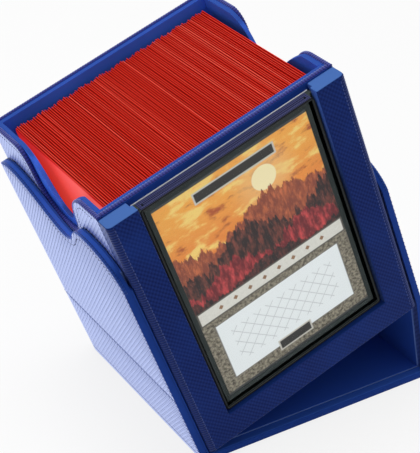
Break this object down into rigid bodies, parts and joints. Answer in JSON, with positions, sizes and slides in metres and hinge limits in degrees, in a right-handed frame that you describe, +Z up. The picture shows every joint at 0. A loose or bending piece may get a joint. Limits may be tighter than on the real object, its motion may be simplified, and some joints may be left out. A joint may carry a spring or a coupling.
{
  "type": "deck box with drawer",
  "caption": "Leatherette deck box: a level outer case carries a leaning deck drawer with side finger notches and a slide-in display case in its front.",
  "frame": {"origin": "on the case's flat underside, close to its middle", "axes": "+Z up, +Y from the display front to the back, +X to the right as seen from the front"},
  "size_m": [0.131, 0.0887, 0.1346],
  "materials": {
    "wrap": "finely ribbed leatherette",
    "lining": "smooth microfibre",
    "runner": "matte",
    "magnet": "plated",
    "showcase": "gloss black",
    "window": "clear",
    "card": "printed, satin",
    "sleeve": "gloss sleeve film"
  },
  "bodies": {
    "case": {"case_left_wall": "wrap", "case_right_wall": "wrap", "case_back_wall": "wrap", "case_floor": "wrap", "case_left_lining": "lining", "case_right_lining": "lining", "case_back_lining": "lining", "case_floor_lining": "lining", "deck_runner_left": "runner", "deck_runner_right": "runner", "case_magnets": "magnet"},
    "deck_drawer": {"drawer_left_wall": "wrap", "drawer_right_wall": "wrap", "drawer_front_wall": "wrap", "drawer_back_wall": "wrap", "drawer_floor": "wrap", "drawer_left_lining": "lining", "drawer_right_lining": "lining", "drawer_front_lining": "lining", "drawer_back_lining": "lining", "drawer_floor_lining": "lining", "display_bezel": "wrap", "drawer_magnets": "magnet"},
    "showcase": {"showcase_back": "showcase", "showcase_window": "window"},
    "card": {"display_card": "card"},
    "deck": {"deck_cards": "sleeve"}
  },
  "joints": [
    {"name": "drawer_slide", "type": "slide", "parent": "case", "child": "deck_drawer", "axis": [0, -1, 0], "range_m": [0, 0.08]},
    {"name": "showcase_slide", "type": "slide", "parent": "deck_drawer", "child": "showcase", "axis": [-0.3322, 0, 0.9432], "range_m": [0, 0.094]},
    {"name": "card_slide", "type": "slide", "parent": "showcase", "child": "card", "axis": [-0.3322, 0, 0.9432], "range_m": [0, 0.09]},
    {"name": "deck_lift", "type": "slide", "parent": "deck_drawer", "child": "deck", "axis": [-0.3322, 0, 0.9432], "range_m": [0, 0.096]}
  ]
}
